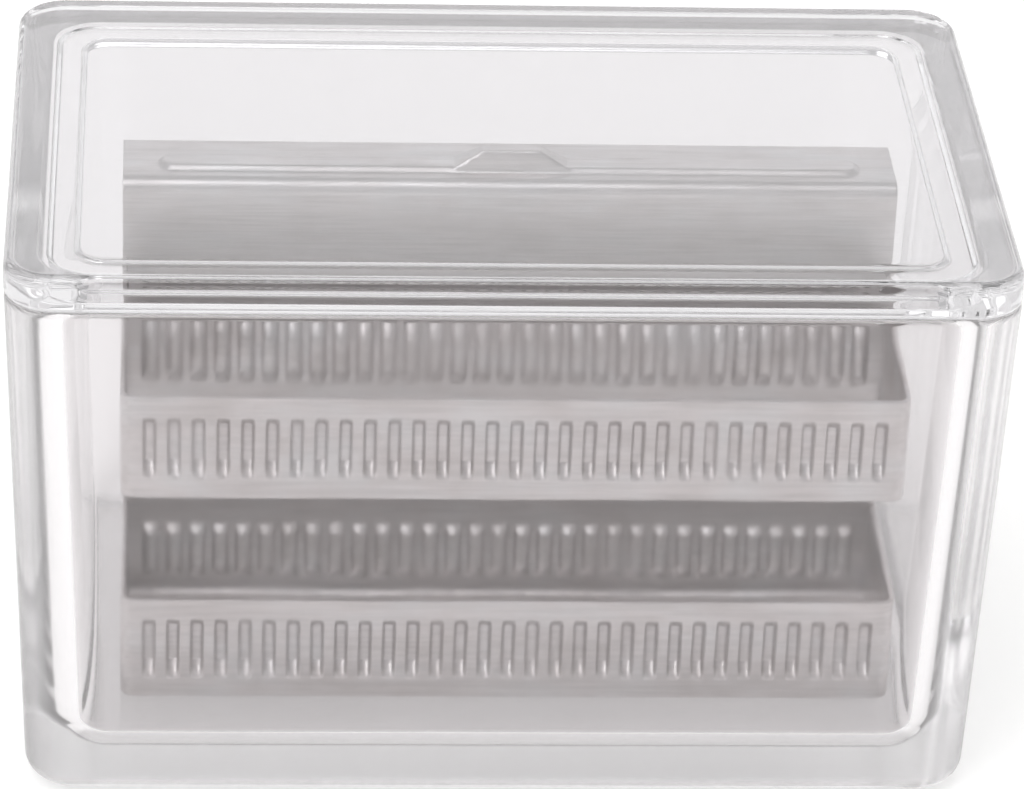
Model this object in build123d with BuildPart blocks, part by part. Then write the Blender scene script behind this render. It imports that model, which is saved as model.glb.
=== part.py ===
"""Slide staining jar: a pressed-glass jar, its loose lid and a folded-steel rack for thirty slides.

Millimetres, +Z up. The origin is the centre of the jar's underside, +X runs along the jar
and the front of the rack faces -Y.
"""
import os

from build123d import *

os.makedirs("parts", exist_ok=True)

# --- Glass jar -------------------------------------------------------------
jar_length = 146.2          # outside, across the rim
jar_depth = 94.7            # outside, front to back across the rim
jar_height = 82.8           # table to rim
side_taper = 2.5            # how far each side draws in from the rim to the foot
glass_wall = 5.5
glass_floor = 5.2
outer_corner_radius = 7.5   # upright corners
inner_corner_radius = 7.0
foot_edge_radius = 4.0      # round edge under the walls
floor_edge_radius = 6.5     # round edge inside, where the walls meet the floor
rim_edge_radius = 0.9

# --- Glass lid -------------------------------------------------------------
lid_thickness = 5.6
lid_top_radius = 1.8        # round edge on top
lid_under_radius = 0.9
ridge_clearance = 0.9       # ridge to the inside of the jar's wall
ridge_width = 4.0
ridge_height = 2.0          # how far the locating ridge reaches into the jar
ridge_edge_radius = 0.8
ridge_inner_corner = 4.0    # upright corners inside the ridge

# --- Slide rack ------------------------------------------------------------
slot_count = 30
rack_end_space = 6.5        # rack's end to the jar's end wall at the floor, each end
end_margin = 4.4            # last rib to the rack's end
slide_gap = 28.5            # inside, between the ribbed walls: a slide is 26 wide
sheet = 0.8
foot_lift = 0.4             # its lower corners ride on the round edge of the jar's floor
rack_height = 68.1          # foot to the top of the flange
band_height = 17.0
band_pitch = 34.8           # lower band to upper band
bend_radius = 2.2           # outside of each folded corner
ledge_reach = 8.0           # ledges that the slides stand on
ledge_clearance = 0.6       # ledge ends to the end walls
flange_reach = 13.9         # from the inside of the wall to the flange's rear edge
rack_shift_x = 2.1          # where the rack stands in the jar
rack_shift_y = -1.8

# Ribs pressed into the walls, between the slides
rib_length = 10.2
rib_width = 2.3
rib_depth = 1.4
rib_top_ramp = 1.7          # a rib's upper end is steep, its lower end is long
rib_bottom_ramp = 3.0
groove_width = 1.8
groove_floor = 0.5          # metal left at the crest of a rib

# Bead along the flange, and the finger grip raised from its middle
bead_end_margin = 5.0       # bead's end to the flange's end
bead_width = 5.7
bead_height = 0.7
bead_draft = 40.0
bead_set_back = 6.1         # from the inside of the wall to the bead's middle
grip_length = 19.5          # along the flange, at its foot
grip_top_length = 8.9
grip_width = 4.8
grip_top_width = 1.9
grip_height = 3.3
grip_front_lean = 0.7       # the top's front edge stands this far behind the foot's

# --- Sizes that follow -----------------------------------------------------
foot_length = jar_length - 2 * side_taper
foot_depth = jar_depth - 2 * side_taper
floor_taper = side_taper * (1 - glass_floor / jar_height)
floor_length = jar_length - 2 * (floor_taper + glass_wall)
floor_depth = jar_depth - 2 * (floor_taper + glass_wall)
mouth_length = jar_length - 2 * glass_wall
mouth_depth = jar_depth - 2 * glass_wall

ridge_length = mouth_length - 2 * ridge_clearance
ridge_depth = mouth_depth - 2 * ridge_clearance
ridge_corner = inner_corner_radius - ridge_clearance

rib_count = slot_count + 1
rack_length = floor_length - 2 * rack_end_space
slot_pitch = (rack_length - 2 * end_margin) / slot_count
bead_length = rack_length - 2 * bead_end_margin
rack_depth = slide_gap + sheet + flange_reach
front_y = rack_shift_y - rack_depth / 2             # outside of the front bands
wall_y = front_y + sheet + slide_gap                # inside of the back plate
rack_foot = glass_floor + foot_lift
flange_top = rack_foot + rack_height
lower_row_z = rack_foot + band_height / 2
upper_row_z = lower_row_z + band_pitch
bend_inside = bend_radius - sheet


def slab(length, depth, corner, height):
    """Rounded rectangle at a height, centred on the jar, for a loft."""
    with BuildSketch(Plane.XY.offset(height)) as outline:
        RectangleRounded(length, depth, corner)
    return outline.sketch


# --- Jar: tapered box with a tapered hollow --------------------------------
with BuildPart() as jar:
    loft([slab(foot_length, foot_depth, outer_corner_radius, 0),
          slab(jar_length, jar_depth, outer_corner_radius, jar_height)], ruled=True)
    fillet(jar.faces().sort_by(Axis.Z)[0].edges(), foot_edge_radius)
    loft([slab(floor_length, floor_depth, inner_corner_radius, glass_floor),
          slab(mouth_length, mouth_depth, inner_corner_radius, jar_height)],
         ruled=True, mode=Mode.SUBTRACT)
    inner_floor = jar.faces().filter_by(Axis.Z).sort_by(Axis.Z)[1]
    fillet(inner_floor.edges(), floor_edge_radius)
    fillet(jar.faces().sort_by(Axis.Z)[-1].edges(), rim_edge_radius)
jar.part.label = "jar"

# --- Lid: flat plate with a locating ridge underneath --------------------------
with BuildPart() as lid:
    with BuildSketch(Plane.XY.offset(jar_height)):
        RectangleRounded(jar_length, jar_depth, outer_corner_radius)
    extrude(amount=lid_thickness)
    fillet(lid.faces().sort_by(Axis.Z)[-1].edges(), lid_top_radius)
    fillet(lid.faces().sort_by(Axis.Z)[0].edges(), lid_under_radius)
    with BuildSketch(Plane.XY.offset(jar_height - ridge_height)):
        RectangleRounded(ridge_length, ridge_depth, ridge_corner)
    extrude(amount=ridge_height)
    with BuildSketch(Plane.XY.offset(jar_height - ridge_height)):
        RectangleRounded(ridge_length - 2 * ridge_width, ridge_depth - 2 * ridge_width,
                         ridge_inner_corner)
    extrude(amount=ridge_height, mode=Mode.SUBTRACT)
    fillet(lid.faces().sort_by(Axis.Z)[0].edges(), ridge_edge_radius)
lid.part.label = "lid"

# --- Rib tools: the crest on the slide side and the groove behind it ---------
# Both point along +Y from the outside of a wall that stands on the XZ plane.
with BuildPart() as rib_crest:
    with BuildSketch(Plane.YZ):
        with BuildLine():
            Polyline((0, -rib_length / 2), (sheet, -rib_length / 2),
                     (sheet + rib_depth, rib_bottom_ramp - rib_length / 2),
                     (sheet + rib_depth, rib_length / 2 - rib_top_ramp),
                     (sheet, rib_length / 2), (0, rib_length / 2), close=True)
        make_face()
    extrude(amount=rib_width / 2, both=True)

with BuildPart() as rib_groove:
    groove_depth = rib_depth + sheet - groove_floor
    with BuildSketch(Plane.YZ):
        with BuildLine():
            Polyline((0, -rib_length / 2),
                     (groove_depth, rib_bottom_ramp - rib_length / 2),
                     (groove_depth, rib_length / 2 - rib_top_ramp),
                     (0, rib_length / 2), close=True)
        make_face()
    extrude(amount=groove_width / 2, both=True)


def rib_places(wall_y_outside, row_heights, turn):
    """One place per rib, on the outside of a wall. A turn of 180 points the ribs to -Y."""
    first = rack_shift_x - slot_count * slot_pitch / 2
    return [Location((first + i * slot_pitch, wall_y_outside, z), (0, 0, turn))
            for z in row_heights for i in range(rib_count)]


def band_outline(z):
    """U-shaped section of a band: front and two ends, open towards the back plate."""
    with BuildSketch(Plane.XY.offset(z)) as section:
        with Locations((rack_shift_x, (front_y + wall_y + sheet) / 2)):
            Rectangle(rack_length, wall_y + sheet - front_y)
        fillet(section.vertices().group_by(Axis.Y)[0], bend_radius)
        with BuildSketch(Plane.XY, mode=Mode.PRIVATE) as hollow:
            with Locations((rack_shift_x, (front_y + wall_y) / 2 + sheet)):
                Rectangle(rack_length - 2 * sheet, wall_y - front_y)
            fillet(hollow.vertices().group_by(Axis.Y)[0], bend_inside)
        add(hollow.sketch, mode=Mode.SUBTRACT)
        with Locations((rack_shift_x, wall_y + sheet / 2)):
            Rectangle(rack_length, sheet, mode=Mode.SUBTRACT)
    return section.sketch


# --- Upper band --------------------------------------------------------------
with BuildPart() as upper_band:
    extrude(band_outline(upper_row_z - band_height / 2), amount=band_height)
    with Locations(*rib_places(front_y, [upper_row_z], 0)):
        add(rib_crest.part)
    with Locations(*rib_places(front_y, [upper_row_z], 0)):
        add(rib_groove.part, mode=Mode.SUBTRACT)
upper_band.part.label = "rack_upper_band"

# --- Lower band, with its ledge turned in under the slides --------------------
with BuildPart() as lower_band:
    extrude(band_outline(rack_foot), amount=band_height)
    with BuildSketch(Plane.XY.offset(rack_foot)):
        with Locations((rack_shift_x, front_y + sheet / 2 + ledge_reach / 2)):
            Rectangle(rack_length - 2 * bend_radius, ledge_reach)
    extrude(amount=sheet)
    with Locations(*rib_places(front_y, [lower_row_z], 0)):
        add(rib_crest.part)
    with Locations(*rib_places(front_y, [lower_row_z], 0)):
        add(rib_groove.part, mode=Mode.SUBTRACT)
lower_band.part.label = "rack_lower_band"

# --- Back plate: wall, flange and ledge folded from one sheet -----------------
with BuildPart() as back_plate:
    ledge_tip = wall_y + sheet - ledge_reach
    with BuildSketch(Plane.YZ.offset(rack_shift_x)) as fold:
        with BuildLine():
            Polyline((ledge_tip, rack_foot), (wall_y + sheet, rack_foot),
                     (wall_y + sheet, flange_top - sheet),
                     (wall_y + flange_reach, flange_top - sheet),
                     (wall_y + flange_reach, flange_top), (wall_y, flange_top),
                     (wall_y, rack_foot + sheet), (ledge_tip, rack_foot + sheet), close=True)
        make_face()
        # in this sketch X runs towards the rear and Y upwards
        bends = fold.vertices().filter_by(
            lambda v: wall_y - sheet / 2 < v.X < wall_y + 3 * sheet / 2)
        outside = [v for v in bends
                   if (v.X < wall_y + sheet / 2) == (v.Y > rack_foot + rack_height / 2)]
        inside = [v for v in bends if v not in outside]
        fillet(outside, bend_radius)
        fillet(inside, bend_inside)
    extrude(amount=rack_length / 2, both=True)

    # the ledge stops short of the lower band's end walls
    ledge_cut = sheet + ledge_clearance
    with Locations(*[(rack_shift_x + side * (rack_length - ledge_cut) / 2,
                      wall_y - ledge_reach / 2, rack_foot + bend_radius / 2)
                     for side in (-1, 1)]):
        Box(ledge_cut, ledge_reach, bend_radius, mode=Mode.SUBTRACT)

    with Locations(*rib_places(wall_y + sheet, [lower_row_z, upper_row_z], 180)):
        add(rib_crest.part)
    with Locations(*rib_places(wall_y + sheet, [lower_row_z, upper_row_z], 180)):
        add(rib_groove.part, mode=Mode.SUBTRACT)

    # bead pressed up along the flange
    bead_middle = (rack_shift_x, wall_y + bead_set_back)
    with BuildSketch(Plane.XY.offset(flange_top)):
        with Locations(bead_middle):
            SlotOverall(bead_length, bead_width)
    extrude(amount=bead_height, taper=bead_draft)

    # finger grip: its front stands steep, its back and ends slope down to the flange
    grip_front = wall_y + bead_set_back - grip_width / 2
    with BuildSketch(Plane.XY.offset(flange_top)) as grip_foot:
        with Locations((rack_shift_x, grip_front + grip_width / 2)):
            Rectangle(grip_length, grip_width)
    with BuildSketch(Plane.XY.offset(flange_top + grip_height)) as grip_top:
        with Locations((rack_shift_x, grip_front + grip_front_lean + grip_top_width / 2)):
            Rectangle(grip_top_length, grip_top_width)
    loft([grip_foot.sketch, grip_top.sketch], ruled=True)

    # hollow under the bead and the grip, where the sheet was pressed up
    with BuildSketch(Plane.XY.offset(flange_top - sheet)):
        with Locations(bead_middle):
            SlotOverall(bead_length - 2 * sheet, bead_width - 2 * sheet)
    extrude(amount=bead_height, taper=bead_draft, mode=Mode.SUBTRACT)
    with BuildSketch(Plane.XY.offset(flange_top - sheet)) as grip_hollow_foot:
        with Locations((rack_shift_x, grip_front + grip_width / 2)):
            Rectangle(grip_length - 3 * sheet, grip_width - 2 * sheet)
    with BuildSketch(Plane.XY.offset(flange_top + grip_height - sheet)) as grip_hollow_top:
        with Locations((rack_shift_x, grip_front + grip_front_lean + grip_top_width / 2)):
            Rectangle(grip_top_length - 2 * sheet, grip_top_width - sheet)
    loft([grip_hollow_foot.sketch, grip_hollow_top.sketch], ruled=True, mode=Mode.SUBTRACT)
back_plate.part.label = "rack_back_plate"

for piece in (jar, lid, upper_band, lower_band, back_plate):
    export_step(piece.part, f"parts/{piece.part.label}.step")
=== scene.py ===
"""Slide staining jar: the looks of the pressed-glass jar, its lid and the folded-steel slide rack.

Metres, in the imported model's own frame: +Z up, the jar stands on the origin, and the rack's
front faces -Y. Every piece is a mesh worked out here that stands for one of the CAD nodes.
"""
import math

import bpy
import numpy as np
from mathutils import Matrix, Vector


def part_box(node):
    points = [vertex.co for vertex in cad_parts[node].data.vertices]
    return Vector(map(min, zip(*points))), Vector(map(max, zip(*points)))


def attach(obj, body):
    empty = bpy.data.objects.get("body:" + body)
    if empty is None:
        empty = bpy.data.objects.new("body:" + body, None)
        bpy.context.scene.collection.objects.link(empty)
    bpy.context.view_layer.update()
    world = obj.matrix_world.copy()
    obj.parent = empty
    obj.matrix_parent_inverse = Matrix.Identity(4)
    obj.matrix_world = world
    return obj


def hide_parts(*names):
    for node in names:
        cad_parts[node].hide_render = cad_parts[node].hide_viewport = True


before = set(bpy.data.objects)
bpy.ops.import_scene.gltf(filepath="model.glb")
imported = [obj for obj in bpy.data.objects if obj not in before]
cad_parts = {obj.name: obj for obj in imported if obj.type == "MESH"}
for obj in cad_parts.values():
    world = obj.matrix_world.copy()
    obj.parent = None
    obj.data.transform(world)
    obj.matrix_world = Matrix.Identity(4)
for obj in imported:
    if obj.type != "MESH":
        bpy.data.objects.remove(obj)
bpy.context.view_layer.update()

MM = 0.001

# --- Sizes: the boxes come from the frame, the rest is the detail that the looks add ----------
jar_low, jar_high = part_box("jar")
lid_low, lid_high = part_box("lid")
plate_low, plate_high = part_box("rack_back_plate")
lower_low, lower_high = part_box("rack_lower_band")
upper_low, upper_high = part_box("rack_upper_band")

SIDE_TAPER = 2.5 * MM
GLASS_WALL = 5.5 * MM
GLASS_FLOOR = 5.2 * MM
OUTER_CORNER = 7.5 * MM
INNER_CORNER = 7.0 * MM
FOOT_EDGE = 4.0 * MM
FLOOR_EDGE = 6.5 * MM           # hollow where the inner walls meet the floor
RIM_EDGE = 0.9 * MM
LID_TOP_EDGE = 1.8 * MM
LID_UNDER_EDGE = 0.9 * MM
RIDGE_CLEARANCE = 0.9 * MM
RIDGE_WIDTH = 4.0 * MM
RIDGE_EDGE = 0.8 * MM
ROOT_EDGE = 0.5 * MM            # hollow where the ridge meets the underside
RIDGE_INNER_CORNER = 4.0 * MM
AIR_FILM = 0.03 * MM            # thin air between pieces that rest on each other

SHEET = 0.8 * MM
BEND = 2.2 * MM                 # outside of each folded corner
LEDGE_REACH = 8.0 * MM
SLOT_COUNT = 30
END_MARGIN = 4.4 * MM
CUT_EDGE = 0.14 * MM            # rounding of the sheared edges
RIB_LENGTH = 10.2 * MM
RIB_TOP_RAMP = 1.7 * MM
RIB_BOTTOM_RAMP = 3.0 * MM
GROOVE_BOTTOM_RAMP = 2.3 * MM
RIB_DEPTH = 1.4 * MM
CREST_WIDTH = 2.5 * MM
GROOVE_WIDTH = 1.8 * MM
GROOVE_FLOOR = 0.5 * MM         # steel left between a groove's floor and its rib's crest
GROOVE_DEPTH = RIB_DEPTH + SHEET - GROOVE_FLOOR
BEAD_END_MARGIN = 5.0 * MM
BEAD_WIDTH = 5.7 * MM
BEAD_HEIGHT = 0.7 * MM
BEAD_SLOPE = 1.3 * MM
BEAD_SET_BACK = 6.1 * MM
GRIP_LENGTH = 19.5 * MM
GRIP_TOP_LENGTH = 8.9 * MM
GRIP_WIDTH = 4.8 * MM
GRIP_HEIGHT = 3.3 * MM
GRIP_FRONT_SLOPE = 0.9 * MM
GRIP_REAR_SLOPE = 2.4 * MM
RACK_HEIGHT = 68.1 * MM

rack_middle_x = (plate_low.x + plate_high.x) / 2
rack_half = (plate_high.x - plate_low.x) / 2
rack_left = rack_middle_x - rack_half
rack_foot = plate_low.z
front_y = lower_low.y
wall_y = lower_high.y           # inside face of the back plate, where the bands end
flange_rear_y = plate_high.y
flange_top = rack_foot + RACK_HEIGHT
bead_y = wall_y + BEAD_SET_BACK
bead_half = rack_half - BEAD_END_MARGIN
slot_pitch = 2 * (rack_half - END_MARGIN) / SLOT_COUNT
rib_xs = rack_middle_x + (np.arange(SLOT_COUNT + 1) - SLOT_COUNT / 2) * slot_pitch
row_heights = ((lower_low.z + lower_high.z) / 2, (upper_low.z + upper_high.z) / 2)


def piece_from(name, points, faces, material, cad_node, slot):
    """A smooth mesh piece that stands for a CAD node and rides on the one body."""
    mesh = bpy.data.meshes.new(name)
    mesh.from_pydata([tuple(p) for p in points], [], faces)
    mesh.validate()
    mesh.shade_smooth()
    mesh.materials.append(material)
    piece = bpy.data.objects.new(name, mesh)
    bpy.context.scene.collection.objects.link(piece)
    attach(piece, "root")
    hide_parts(cad_node)


def between(start, end, count):
    """Even steps from start to end, count of them with both ends, given without the ends."""
    return np.linspace(start, end, count)[1:-1]


# --- Glass meshes: closed stacks of rounded rectangles ----------------------------------------
CORNER_STEPS = 20
EDGE_STEPS = 28
SHARPEST_CORNER = 0.02 * MM
WALL_LEVELS = 30
RIM_LEVELS = 5
BORDER_LEVELS = 5
UNDER_LEVELS = 6
FLOOR_ROUND = 16                # rings round each kind of edge
LARGE_ROUND = 14
SMALL_ROUND = 9
ROOT_ROUND = 7
UNDERSIDE_RINGS = (3.4, 3.0, 1.0, 0.3)      # mm in from the rounding, across each flat face
FLOOR_RINGS = (0.3, 1.0, 3.0, 4.0)
LID_TOP_RINGS = (5.5, 4.0, 2.0, 0.6)
PANEL_RINGS = (0.5, 1.5, 3.0)
WAVE_LENGTH = 8.0 * MM          # length of one radian of a mould wave
WAVE_DEPTH = 0.03 * MM
CLOSER_X = 1.2                  # how much closer some waves follow each other, so none match
CLOSER_Z = 1.3
OUTER_PHASE = 0.4               # where the waves start, in the outer and the inner walls
INNER_PHASE = 1.7


def uneven(x, y, z, phase):
    """Slow mould waves: a point of an upright wall drawn in by up to the wave's depth."""
    wave_x = math.sin(y / WAVE_LENGTH + phase) * math.cos(CLOSER_Z * z / WAVE_LENGTH + 2 * phase)
    wave_y = math.sin(CLOSER_X * x / WAVE_LENGTH + 3 * phase) * math.cos(z / WAVE_LENGTH + phase)
    return (x - math.copysign(WAVE_DEPTH * (0.5 + 0.5 * wave_x), x),
            y - math.copysign(WAVE_DEPTH * (0.5 + 0.5 * wave_y), y), z)


def rounded_ring(half_x, half_y, radius, z, phase=OUTER_PHASE):
    """Points of a rounded rectangle at height z, anticlockwise, as many for every size."""
    radius = max(radius, SHARPEST_CORNER)
    corners = []
    for side_x, side_y, first in ((1, 1, 0), (-1, 1, 90), (-1, -1, 180), (1, -1, 270)):
        arc = np.radians(first + np.linspace(0, 90, CORNER_STEPS + 1))
        corners.append([(side_x * (half_x - radius) + radius * math.cos(a),
                         side_y * (half_y - radius) + radius * math.sin(a), z) for a in arc])
    points = []
    for corner, following in zip(corners, corners[1:] + corners[:1]):
        points += corner
        start, end = np.array(corner[-1]), np.array(following[0])
        for t in between(0, 1, EDGE_STEPS + 1):
            points.append(tuple(start + (end - start) * t))
    return [uneven(*p, phase) for p in points]


def stack(rings):
    """Points and faces of a closed form from its rings, first and last filled."""
    count = len(rings[0])
    points = [p for ring in rings for p in ring]
    faces = []
    for level in range(len(rings) - 1):
        a, b = level * count, (level + 1) * count
        for i in range(count):
            j = (i + 1) % count
            faces.append((a + i, a + j, b + j, b + i))
    last = (len(rings) - 1) * count
    faces.append(tuple(range(count - 1, -1, -1)))
    faces.append(tuple(last + i for i in range(count)))
    return points, faces


def quarter(steps):
    """Sine and 1 - cosine pairs along a quarter round, from 0 to 90 degrees."""
    return [(math.sin(a), 1 - math.cos(a)) for a in np.linspace(0, math.pi / 2, steps)]


def jar_rings():
    """Underside, outer wall, rim, inner wall and inner floor of the jar."""
    half_x = (jar_high.x - jar_low.x) / 2
    half_y = (jar_high.y - jar_low.y) / 2
    height = jar_high.z
    rim_foot = height - RIM_EDGE

    def outer(z, inset=0.0):
        draw = SIDE_TAPER * (1 - z / height) + inset
        return rounded_ring(half_x - draw, half_y - draw, OUTER_CORNER - inset, z)

    def inner(z, inset=0.0):
        draw = SIDE_TAPER * (1 - z / height) + GLASS_WALL + inset
        return rounded_ring(half_x - draw, half_y - draw, INNER_CORNER - inset, z, INNER_PHASE)

    rings = [outer(0, FOOT_EDGE + extra * MM) for extra in UNDERSIDE_RINGS]
    rings += [outer(FOOT_EDGE * rise, FOOT_EDGE * (1 - run)) for run, rise in quarter(LARGE_ROUND)]
    rings += [outer(z) for z in between(FOOT_EDGE, rim_foot, WALL_LEVELS)]
    rings += [outer(height - RIM_EDGE * (1 - run), RIM_EDGE * rise)
              for run, rise in quarter(SMALL_ROUND)]
    rings += [outer(height, inset)
              for inset in between(RIM_EDGE, GLASS_WALL - RIM_EDGE, RIM_LEVELS)]
    rings += [inner(height - RIM_EDGE * rise, -RIM_EDGE * (1 - run))
              for run, rise in quarter(SMALL_ROUND)]
    rings += [inner(z) for z in between(rim_foot, GLASS_FLOOR + FLOOR_EDGE, WALL_LEVELS)]
    rings += [inner(GLASS_FLOOR + FLOOR_EDGE * (1 - run), FLOOR_EDGE * rise)
              for run, rise in quarter(FLOOR_ROUND)]
    rings += [inner(GLASS_FLOOR, FLOOR_EDGE + extra * MM) for extra in FLOOR_RINGS]
    return rings


def lid_rings():
    """Top, rounded border, flat underside, locating ridge and the flat panel inside it."""
    half_x = (lid_high.x - lid_low.x) / 2
    half_y = (lid_high.y - lid_low.y) / 2
    top = lid_high.z
    under = jar_high.z + AIR_FILM
    ridge_bottom = lid_low.z
    ridge_out = GLASS_WALL + RIDGE_CLEARANCE
    ridge_in = ridge_out + RIDGE_WIDTH

    def ring(inset, z, corner):
        return rounded_ring(half_x - inset, half_y - inset, corner, z)

    def border(inset, z):
        return ring(inset, z, OUTER_CORNER - inset)

    def ridge_side(inset, z):
        return ring(inset, z, INNER_CORNER - RIDGE_CLEARANCE - (inset - ridge_out))

    def panel_side(inset, z):
        return ring(inset, z, RIDGE_INNER_CORNER - (inset - ridge_in))

    rings = [border(LID_TOP_EDGE + extra * MM, top) for extra in LID_TOP_RINGS]
    rings += [border(LID_TOP_EDGE * (1 - run), top - LID_TOP_EDGE * rise)
              for run, rise in quarter(LARGE_ROUND)]
    rings += [border(0, z)
              for z in between(top - LID_TOP_EDGE, under + LID_UNDER_EDGE, BORDER_LEVELS)]
    rings += [border(LID_UNDER_EDGE * rise, under + LID_UNDER_EDGE * (1 - run))
              for run, rise in quarter(SMALL_ROUND)]
    rings += [border(inset, under)
              for inset in between(LID_UNDER_EDGE, ridge_out - ROOT_EDGE, UNDER_LEVELS)]
    rings += [ridge_side(ridge_out - ROOT_EDGE * (1 - run), under - ROOT_EDGE * rise)
              for run, rise in quarter(ROOT_ROUND)]
    rings += [ridge_side(ridge_out + RIDGE_EDGE * rise, ridge_bottom + RIDGE_EDGE * (1 - run))
              for run, rise in quarter(SMALL_ROUND)]
    rings += [panel_side(ridge_in - RIDGE_EDGE * (1 - run), ridge_bottom + RIDGE_EDGE * rise)
              for run, rise in quarter(SMALL_ROUND)]
    rings += [panel_side(ridge_in + ROOT_EDGE * rise, under - ROOT_EDGE * (1 - run))
              for run, rise in quarter(SMALL_ROUND)]
    rings += [panel_side(ridge_in + ROOT_EDGE + extra * MM, under) for extra in PANEL_RINGS]
    return rings[::-1]


# --- Steel meshes: a folded sheet as two embossed faces closed by its sheared edges -----------
BEND_STEPS = 8
CUT_EDGE_STEPS = (0.08, 0.3, 0.6, 1.0, 2.0)         # shares of the sheared edge's rounding
RIB_COLUMNS = np.array([-1.25, -1.0, -0.93, -0.82, -0.66, -0.36, 0,
                        0.36, 0.66, 0.82, 0.93, 1.0, 1.25])     # shares of half a crest's width
RAMP_ROWS = (-0.15, 0, 0.08, 0.2, 0.35, 0.5, 0.65, 0.8, 0.92, 1, 1.1)   # shares of a ramp
CREST_FOOT_ROWS = (0.75, 0.85, 0.95, 1.05)          # shares of the longer ramp at a crest's foot
ROUND_POWER = 2.2               # of a rib's section, where 2 would be an ellipse
GROOVE_SQUARENESS = 7           # added to it for a groove's flat floor and steep sides
BEAD_ROWS = 27
BEAD_ROW_REACH = 1.08           # how far they reach, in shares of half the bead's width

MID_BEND = BEND - SHEET / 2     # bend of the sheet's middle, where every profile is drawn
ledge_mid = rack_foot + SHEET / 2 + AIR_FILM
rib_columns = np.ravel(rib_xs[:, None] + RIB_COLUMNS[None, :] * CREST_WIDTH / 2)


def smooth(t):
    t = np.clip(t, 0, 1)
    return t * t * (3 - 2 * t)


def straight(t):
    return t


# Width, depth, squareness, bottom ramp and both ramps' profile: towards the slides, then behind.
CREST = (CREST_WIDTH, RIB_DEPTH, 0, RIB_BOTTOM_RAMP, smooth)
GROOVE = (GROOVE_WIDTH, GROOVE_DEPTH, GROOVE_SQUARENESS, GROOVE_BOTTOM_RAMP, straight)


def fold(start, heading, runs, radius):
    """Points and left normals along a folded profile: straight runs joined by 90 degree bends.

    Each run is the places along it and the bend after it: 1 to the left, -1 to the right, 0 none.
    """
    points, normals = [], []
    corner, direction = np.array(start, float), np.array(heading, float)
    for run, turn in runs:
        left = np.array([-direction[1], direction[0]])
        for t in run:
            points.append(corner + direction * t)
            normals.append(left)
        corner = corner + direction * run[-1]
        if turn:
            centre = corner + left * turn * radius
            for a in between(0, math.pi / 2, BEND_STEPS):
                swing = direction * math.sin(a) - left * turn * math.cos(a)
                points.append(centre + swing * radius)
                normals.append(-swing * turn)
            corner = centre + direction * radius
            direction = left * turn
    return np.array(points), np.array(normals)


def edge_offset(distance):
    """Half thickness of the sheet at a distance from its sheared, slightly rounded edge."""
    t = np.clip(distance / CUT_EDGE, 0, 1)
    return SHEET / 2 - CUT_EDGE + CUT_EDGE * np.sqrt(1 - (1 - t) ** 2)


def along_x(profile, wide):
    """Points of a sheet whose profile lies in y and z."""
    return np.dstack([wide, profile[:, :, 0], profile[:, :, 1]])


def along_z(profile, wide):
    """Points of a sheet whose profile lies in x and y."""
    return np.dstack([profile[:, :, 0], profile[:, :, 1], wide])


def quads_of(index):
    """The faces of a grid of point numbers."""
    return np.c_[index[:-1, :-1].ravel(), index[1:, :-1].ravel(),
                 index[1:, 1:].ravel(), index[:-1, 1:].ravel()]


def folded_sheet(points, normals, across, place, emboss_left, emboss_right):
    """Both faces of a sheet, displaced along its left normals, and the strips that close them."""
    steps = np.r_[0, np.cumsum(np.linalg.norm(np.diff(points, axis=0), axis=1))]
    along_edge = np.minimum(steps, steps[-1] - steps)
    across_edge = np.minimum(across - across[0], across[-1] - across)
    half = np.minimum(edge_offset(along_edge)[:, None], edge_offset(across_edge)[None, :])
    rows, columns = len(points), len(across)
    grid = np.repeat(points[:, None, :], columns, axis=1)
    wide = np.repeat(across[None, :], rows, axis=0)
    both_sides = []
    for side, emboss in ((1, emboss_left), (-1, emboss_right)):
        shift = side * half + emboss(grid, wide)
        moved = grid + normals[:, None, :] * shift[:, :, None]
        both_sides.append(place(moved, wide).reshape(-1, 3))
    size = rows * columns
    index = np.arange(size).reshape(rows, columns)
    border = np.r_[index[0, :], index[1:, -1], index[-1, -2::-1], index[-2:0:-1, 0]]
    following = np.roll(border, -1)
    quads = np.vstack([quads_of(index), quads_of(index + size)[:, ::-1],
                       np.c_[border, following, following + size, border + size]])
    return np.vstack(both_sides), [tuple(int(i) for i in quad) for quad in quads]


def run_steps(length, inner, edge_start=False, edge_end=False):
    """Places along a straight run: its ends, the inner places and fine steps at sheared edges."""
    fine = [t * CUT_EDGE for t in CUT_EDGE_STEPS]
    places = {0.0, length, *inner}
    if edge_start:
        places.update(fine)
    if edge_end:
        places.update(length - t for t in fine)
    return np.array(sorted(p for p in places if 0 <= p <= length))


def rib_rows(middle):
    """Heights that follow a rib's ends, ramps and crest."""
    top, foot = middle + RIB_LENGTH / 2, middle - RIB_LENGTH / 2
    return [*(top - RIB_TOP_RAMP * t for t in RAMP_ROWS),
            *(foot + GROOVE_BOTTOM_RAMP * t for t in RAMP_ROWS),
            *(foot + RIB_BOTTOM_RAMP * t for t in CREST_FOOT_ROWS), middle]


def rib_shape(x, z, width, depth, squareness, bottom_ramp, profile):
    """Height of the pressed ribs, which ramp up at both ends; the sheet is flat between them."""
    nearest = np.clip(np.round((x - rib_xs[0]) / slot_pitch), 0, SLOT_COUNT)
    u = np.clip(np.abs(x - rib_xs[0] - nearest * slot_pitch) / (width / 2), 0, 1)
    reach = np.max([np.minimum((RIB_LENGTH / 2 - (z - middle)) / RIB_TOP_RAMP,
                               (RIB_LENGTH / 2 + (z - middle)) / bottom_ramp)
                    for middle in row_heights], axis=0)
    t = np.clip(reach, 0, 1)
    power = ROUND_POWER + squareness * t ** 3
    return depth * profile(t) * (1 - u ** power) ** (1 / power)


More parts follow.
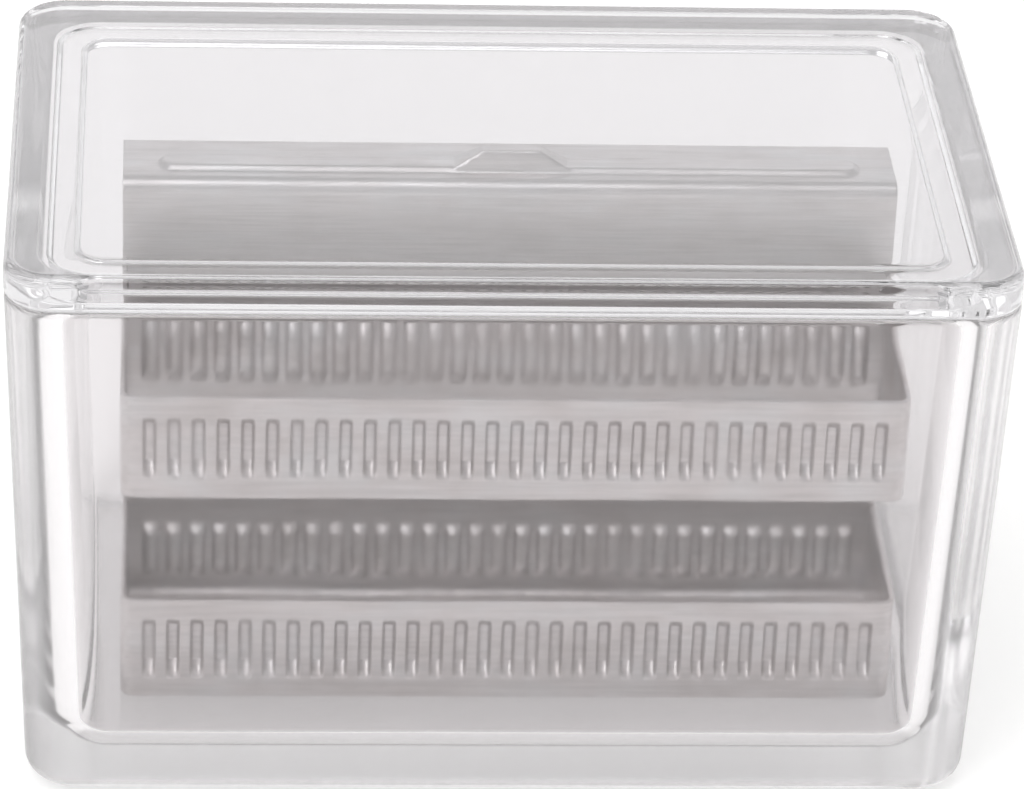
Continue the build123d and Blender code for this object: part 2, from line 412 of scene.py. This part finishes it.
def flange_shape(x, y):
    """Height of the long bead and of the finger grip that rises from its middle."""
    dx = np.maximum(np.abs(x - rack_middle_x) - (bead_half - BEAD_WIDTH / 2), 0)
    from_line = np.hypot(dx, y - bead_y)
    bead = BEAD_HEIGHT * smooth((BEAD_WIDTH / 2 - from_line) / BEAD_SLOPE)
    end_slope = (GRIP_LENGTH - GRIP_TOP_LENGTH) / 2
    ends = np.clip((GRIP_LENGTH / 2 - np.abs(x - rack_middle_x)) / end_slope, 0, 1)
    front = smooth((y - (bead_y - GRIP_WIDTH / 2)) / GRIP_FRONT_SLOPE)
    rear = smooth((bead_y + GRIP_WIDTH / 2 - y) / GRIP_REAR_SLOPE)
    return np.maximum(bead, GRIP_HEIGHT * np.minimum(ends, np.minimum(front, rear)))


def build_back_plate(material):
    """Ledge, wall and flange folded from one sheet, with two rows of ribs, bead and grip."""
    wall_mid = wall_y + SHEET / 2
    top_mid = flange_top - SHEET / 2
    ledge_tip = wall_y + SHEET - LEDGE_REACH
    wall_start = ledge_mid + MID_BEND
    flange_start = wall_mid + MID_BEND
    ledge_run = wall_mid - MID_BEND - ledge_tip
    wall_run = top_mid - MID_BEND - wall_start
    flange_run = flange_rear_y - wall_mid - MID_BEND
    wall_rows = [z - wall_start for middle in row_heights for z in rib_rows(middle)]
    bead_rows = [bead_y + t * BEAD_WIDTH / 2 - flange_start
                 for t in np.linspace(-BEAD_ROW_REACH, BEAD_ROW_REACH, BEAD_ROWS)]
    points, normals = fold((ledge_tip, ledge_mid), (1, 0), [
        (run_steps(ledge_run, [], edge_start=True), 1),
        (run_steps(wall_run, wall_rows), -1),
        (run_steps(flange_run, bead_rows, edge_end=True), 0)], MID_BEND)
    bead_end = bead_half - BEAD_WIDTH / 4
    columns = [*(rib_columns - rack_left), rack_half - bead_end, rack_half + bead_end]
    across = run_steps(2 * rack_half, columns, True, True) + rack_middle_x - rack_half

    def emboss(rib):
        def height(grid, wide):
            return rib_shape(wide, grid[:, :, 1], *rib) + flange_shape(wide, grid[:, :, 0])
        return height

    mesh = folded_sheet(points, normals, across, along_x, emboss(CREST), emboss(GROOVE))
    piece_from("back_plate", *mesh, material, "rack_back_plate", "rack_steel")


def build_band(name, cad_node, low, high, material):
    """A band folded round the front and both ends, ribbed along its front."""
    left_mid = rack_left + SHEET / 2
    front_mid = front_y + SHEET / 2
    front_start = left_mid + MID_BEND
    side_run = wall_y - front_mid - MID_BEND
    front_run = 2 * (rack_half - SHEET / 2 - MID_BEND)
    points, normals = fold((left_mid, wall_y), (0, -1), [
        (run_steps(side_run, [side_run / 2], edge_start=True), 1),
        (run_steps(front_run, rib_columns - front_start), 1),
        (run_steps(side_run, [side_run / 2], edge_end=True), 0)], MID_BEND)
    is_lower = cad_node == "rack_lower_band"
    foot = low.z + (AIR_FILM if is_lower else 0)
    heights = [z - foot for z in rib_rows((low.z + high.z) / 2)]
    across = run_steps(high.z - foot, heights, True, True) + foot

    def emboss(rib):
        def height(grid, wide):
            return rib_shape(grid[:, :, 0], wide, *rib)
        return height

    points, faces = folded_sheet(points, normals, across, along_z, emboss(CREST), emboss(GROOVE))
    if is_lower:
        extra, extra_faces = lower_ledge()
        faces += [tuple(i + len(points) for i in face) for face in extra_faces]
        points = np.vstack([points, extra])
    piece_from(name, points, faces, material, cad_node, "rack_steel")


def lower_ledge():
    """The narrow ledge along the foot of the front, on which the slides stand."""
    reach = LEDGE_REACH - SHEET / 2
    points, normals = fold((front_y + SHEET / 2, ledge_mid), (1, 0), [
        (run_steps(reach, [], edge_start=True, edge_end=True), 0)], BEND)
    half = rack_half - BEND
    across = run_steps(2 * half, [half], True, True) + rack_middle_x - half

    def flat(grid, wide):
        return np.zeros_like(wide)

    return folded_sheet(points, normals, across, along_x, flat, flat)


# --- Materials --------------------------------------------------------------------------------
JAR_TINT = (0.875, 0.86, 0.867)
LID_TINT = (0.735, 0.73, 0.742)
GLASS_IOR = 1.5
JAR_HAZE = 0.07                 # roughness of the clean glass
LID_HAZE = 0.0
SMEAR_HAZE = 0.05               # more of it in the smears
SMEAR_STRETCH = (1, 1, 0.5)
SMEAR_SCALE = 90
SMEAR_FROM, SMEAR_TO = 0.45, 0.75           # values of the noise between which a smear thickens
JAR_MATT_FOOT = 0.27            # roughness of the underside, where the jar stands
MATT_FROM, MATT_TO = 0.02, 0.25             # it fades up there, in shares of the foot's rounding

STEEL_SHADES = (
    (0.3, (0.71, 0.675, 0.665)), (0.5, (0.775, 0.745, 0.74)), (0.7, (0.79, 0.78, 0.78)))
CLOUD_STRETCH = (0.5, 1, 1)
CLOUD_SCALE = 160
STREAK_STRETCH = (60, 2200, 2200)           # rolling marks, long in x and fine in y and z
STREAK_SHADES = ((0.36, 0.88), (0.6, 1.0))
GRAIN_STRETCH = (40, 900, 900)
GRAIN_SCALE = 1.6
GRAIN_ROUGHNESS = ((0.3, 0.34), (0.7, 0.46))
GRAIN_STRENGTH = 0.25
GRAIN_HEIGHT = 0.006 * MM
DENT_SCALE = 110
DENT_HEIGHT = 0.06 * MM


def new_material(name):
    material = bpy.data.materials.new(name)
    material.use_nodes = True
    tree = material.node_tree
    return material, tree, tree.nodes["Principled BSDF"]


def add_node(tree, kind, **inputs):
    """A new node with some of its inputs set; an underscore stands for a space in their names."""
    made = tree.nodes.new(kind)
    for key, value in inputs.items():
        made.inputs[key.replace("_", " ")].default_value = value
    return made


def stretched(tree, scale):
    """The object's own coordinates, scaled along each axis."""
    place = tree.nodes.new("ShaderNodeTexCoord")
    mapping = add_node(tree, "ShaderNodeMapping", Scale=scale)
    tree.links.new(place.outputs["Object"], mapping.inputs["Vector"])
    return mapping.outputs["Vector"]


def noise(tree, stretch, scale, detail, roughness=0.5):
    made = add_node(tree, "ShaderNodeTexNoise", Scale=scale, Detail=detail, Roughness=roughness)
    tree.links.new(stretched(tree, stretch), made.inputs["Vector"])
    return made.outputs["Fac"]


def colour_ramp(tree, value, stops):
    made = tree.nodes.new("ShaderNodeValToRGB")
    elements = made.color_ramp.elements
    while len(elements) < len(stops):
        elements.new(0.5)
    for element, (position, colour) in zip(elements, stops):
        element.position = position
        element.color = (*colour, 1)
    tree.links.new(value, made.inputs["Fac"])
    return made.outputs["Color"]


def grey_ramp(tree, value, stops):
    return colour_ramp(tree, value, [(position, (grey, grey, grey)) for position, grey in stops])


def glass(name, tint, haze, matt_foot=0.0):
    """Clear pressed glass with faint smears and, where it stands on its foot, a matt underside."""
    material, tree, shader = new_material(name)
    shader.distribution = "GGX"
    shader.inputs["Base Color"].default_value = (*tint, 1)
    shader.inputs["Transmission Weight"].default_value = 1.0
    shader.inputs["IOR"].default_value = GLASS_IOR
    smears = noise(tree, SMEAR_STRETCH, SMEAR_SCALE, 1)
    rough = grey_ramp(tree, smears, [(SMEAR_FROM, haze), (SMEAR_TO, haze + SMEAR_HAZE)])
    height = tree.nodes.new("ShaderNodeSeparateXYZ")
    tree.links.new(stretched(tree, (1, 1, 1 / FOOT_EDGE)), height.inputs["Vector"])
    foot = grey_ramp(tree, height.outputs["Z"], [(MATT_FROM, matt_foot), (MATT_TO, 0.0)])
    rougher = tree.nodes.new("ShaderNodeMath")
    rougher.operation = "MAXIMUM"
    tree.links.new(rough, rougher.inputs[0])
    tree.links.new(foot, rougher.inputs[1])
    tree.links.new(rougher.outputs["Value"], shader.inputs["Roughness"])
    return material


def steel(name):
    """Thin stainless sheet: cloudy shades, fine rolling streaks and grain, and shallow dents."""
    material, tree, shader = new_material(name)
    shader.inputs["Metallic"].default_value = 1.0
    clouds = colour_ramp(tree, noise(tree, CLOUD_STRETCH, CLOUD_SCALE, 2, 0.6), STEEL_SHADES)
    streaks = grey_ramp(tree, noise(tree, STREAK_STRETCH, 1, 2, 0.7), STREAK_SHADES)
    mixed = add_node(tree, "ShaderNodeMixRGB", Fac=1.0)
    mixed.blend_type = "MULTIPLY"
    tree.links.new(clouds, mixed.inputs["Color1"])
    tree.links.new(streaks, mixed.inputs["Color2"])
    tree.links.new(mixed.outputs["Color"], shader.inputs["Base Color"])
    grain = noise(tree, GRAIN_STRETCH, GRAIN_SCALE, 2, 0.6)
    tree.links.new(grey_ramp(tree, grain, GRAIN_ROUGHNESS), shader.inputs["Roughness"])
    dents = noise(tree, (1, 1, 1), DENT_SCALE, 1)
    broad = add_node(tree, "ShaderNodeBump", Strength=1.0, Distance=DENT_HEIGHT)
    fine = add_node(tree, "ShaderNodeBump", Strength=GRAIN_STRENGTH, Distance=GRAIN_HEIGHT)
    tree.links.new(dents, broad.inputs["Height"])
    tree.links.new(grain, fine.inputs["Height"])
    tree.links.new(broad.outputs["Normal"], fine.inputs["Normal"])
    tree.links.new(fine.outputs["Normal"], shader.inputs["Normal"])
    return material


# --- Studio: pale floor, soft light all round, camera -----------------------------------------
FLOOR_REACH = 6.0
FLOOR_DROP = 0.3 * MM           # keeps the floor clear of the jar's underside
FLOOR_SHADES = ((0.3, 0.53), (0.7, 0.56))
FIBRE_SCALE = 400
FLOOR_GLOW = 0.58
FLOOR_GLOW_COLOUR = (1, 0.995, 0.99, 1)
SKY_SHADES = ((0.0, 0.85), (0.5, 0.82), (0.75, 0.65))       # by height, from the horizon up
SOFT_BOXES = (                  # name, place, width, height and power; each faces the origin
    ("overhead_light", (-0.4, -0.7, 2.4), 1.4, 1.4, 16),
    ("upper_left_light", (-1.1, -1.4, 1.7), 1.2, 1.2, 14),
    ("rear_light", (0.2, 1.9, 1.0), 2.6, 1.0, 6),
)
CAMERA_PLACE = Vector((-0.0486, -0.7087, 0.4385))
CAMERA_DOWN = math.radians(29.03)
CAMERA_TURN = math.radians(4.16)
CAMERA_ROLL = math.radians(2.41)
CAMERA_LENS = 186.5
CAMERA_SENSOR = 36.0


def build_floor():
    """Pale paper that also glows a little, so that it stays evenly light."""
    mesh = bpy.data.meshes.new("floor")
    corners = ((-1, -1), (1, -1), (1, 1), (-1, 1))
    mesh.from_pydata([(x * FLOOR_REACH, y * FLOOR_REACH, 0) for x, y in corners],
                     [], [(0, 1, 2, 3)])
    material, tree, shader = new_material("floor_paper")
    fibres = grey_ramp(tree, noise(tree, (1, 1, 1), FIBRE_SCALE, 1), FLOOR_SHADES)
    tree.links.new(fibres, shader.inputs["Base Color"])
    shader.inputs["Roughness"].default_value = 0.9
    shader.inputs["Specular IOR Level"].default_value = 0.0
    shader.inputs["Emission Color"].default_value = FLOOR_GLOW_COLOUR
    shader.inputs["Emission Strength"].default_value = FLOOR_GLOW
    mesh.materials.append(material)
    floor = bpy.data.objects.new("floor", mesh)
    floor.location.z = -FLOOR_DROP
    bpy.context.scene.collection.objects.link(floor)


def build_soft_box(name, place, width, height, power):
    light = bpy.data.lights.new(name, "AREA")
    light.shape = "RECTANGLE"
    light.size = width
    light.size_y = height
    light.energy = power
    box = bpy.data.objects.new(name, light)
    box.location = place
    box.rotation_euler = (-Vector(place)).to_track_quat("-Z", "Y").to_euler()
    bpy.context.scene.collection.objects.link(box)


def build_world():
    """Soft light from all round, dimmer overhead."""
    world = bpy.data.worlds.new("studio")
    world.use_nodes = True
    tree = world.node_tree
    place = tree.nodes.new("ShaderNodeTexCoord")
    split = tree.nodes.new("ShaderNodeSeparateXYZ")
    tree.links.new(place.outputs["Generated"], split.inputs["Vector"])
    background = tree.nodes["Background"]
    background.inputs["Strength"].default_value = 1.0
    tree.links.new(grey_ramp(tree, split.outputs["Z"], SKY_SHADES), background.inputs["Color"])
    world.cycles.sampling_method = "NONE"       # so even a sky needs no rays aimed at it
    bpy.context.scene.world = world


def set_light_paths():
    """Enough bounces for light to find its way along and out of thick glass."""
    paths = bpy.context.scene.cycles
    paths.use_light_tree = False
    paths.max_bounces = 32
    paths.diffuse_bounces = 2
    paths.glossy_bounces = 24
    paths.transmission_bounces = 24


def build_camera():
    """A long lens that looks down at the long side, slightly turned and rolled."""
    data = bpy.data.cameras.new("camera")
    data.sensor_width = CAMERA_SENSOR
    data.lens = CAMERA_LENS
    data.clip_start = 0.01
    data.clip_end = 50
    camera = bpy.data.objects.new("camera", data)
    ahead = Vector((math.sin(CAMERA_TURN) * math.cos(CAMERA_DOWN),
                    math.cos(CAMERA_TURN) * math.cos(CAMERA_DOWN), -math.sin(CAMERA_DOWN)))
    level = Vector((math.cos(CAMERA_TURN), -math.sin(CAMERA_TURN), 0))
    upright = level.cross(ahead)
    right = level * math.cos(CAMERA_ROLL) + upright * math.sin(CAMERA_ROLL)
    up = upright * math.cos(CAMERA_ROLL) - level * math.sin(CAMERA_ROLL)
    axes = Matrix((right, up, -ahead)).transposed().to_4x4()
    camera.matrix_world = Matrix.Translation(CAMERA_PLACE) @ axes
    bpy.context.scene.collection.objects.link(camera)
    bpy.context.scene.camera = camera


jar_glass = glass("jar_glass", JAR_TINT, JAR_HAZE, JAR_MATT_FOOT)
lid_glass = glass("lid_glass", LID_TINT, LID_HAZE)
rack_steel = steel("rack_steel")

piece_from("glass_jar", *stack(jar_rings()), jar_glass, "jar", "jar_glass")
piece_from("glass_lid", *stack(lid_rings()), lid_glass, "lid", "lid_glass")
build_back_plate(rack_steel)
build_band("upper_band", "rack_upper_band", upper_low, upper_high, rack_steel)
build_band("lower_band", "rack_lower_band", lower_low, lower_high, rack_steel)

build_floor()
build_world()
for soft_box in SOFT_BOXES:
    build_soft_box(*soft_box)
bpy.context.scene.view_settings.view_transform = "Standard"
set_light_paths()
build_camera()
